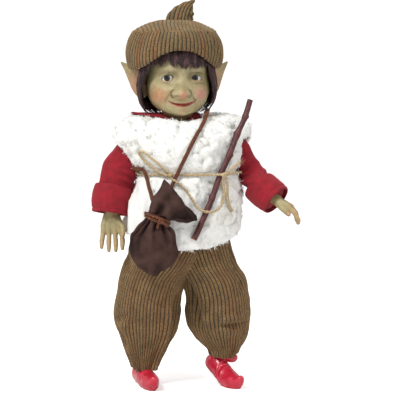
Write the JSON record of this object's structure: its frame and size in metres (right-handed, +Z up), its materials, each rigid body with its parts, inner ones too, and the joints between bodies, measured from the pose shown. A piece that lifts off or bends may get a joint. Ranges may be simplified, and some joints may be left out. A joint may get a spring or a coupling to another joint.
{
  "type": "elf figurine",
  "caption": "Standing elf doll with a painted head and hands, hat, fleece vest, baggy ribbed trousers, pointed boots, a tied pouch and a twig held by twine.",
  "frame": {"origin": "middle of the figure's bounding box in plan, on the surface that it stands on", "axes": "+Z up, -Y out of the figure's front towards the camera, +X towards the figure's left hand"},
  "size_m": [0.1628, 0.0956, 0.305],
  "materials": {
    "painted_resin": "olive paint with a salmon blush on the cheeks and the nose",
    "corduroy": "wide-ribbed brown tweed corduroy",
    "fleece": "curly off-white sheepskin pile",
    "red_cloth": "soft crimson weave",
    "body_cloth": "plain undyed cloth over stuffing",
    "gloss_red_resin": "glossy red paint",
    "twine": "twisted jute",
    "suede_lace": "rust-brown suede lace",
    "glass_eye": "polished, opaque white with a grey iris",
    "dark_hair": "short dark fur pile",
    "bark": "smooth dark red bark",
    "pouch_suede": "dark chocolate suede"
  },
  "bodies": {
    "root": {"belt_twine": "twine", "boot_left": "gloss_red_resin", "boot_right": "gloss_red_resin", "glass_eye_left": "glass_eye", "glass_eye_right": "glass_eye", "hand_left": "painted_resin", "hand_right": "painted_resin", "hat_brim": "corduroy", "hat_crown": "corduroy", "head": "painted_resin", "pouch": "pouch_suede", "pouch_lace_tie": "suede_lace", "pouch_strap": "suede_lace", "shirt_body": "red_cloth", "shirt_collar": "red_cloth", "sleeve_cuff_left": "red_cloth", "sleeve_cuff_right": "red_cloth", "sleeve_left": "red_cloth", "sleeve_right": "red_cloth", "stuffed_arm_left": "body_cloth", "stuffed_arm_right": "body_cloth", "stuffed_leg_left": "body_cloth", "stuffed_leg_right": "body_cloth", "stuffed_torso": "body_cloth", "trousers": "corduroy", "twig": "bark", "twine_drooping_loop": "twine", "vest": "fleece", "wig": "dark_hair"}
  },
  "joints": []
}
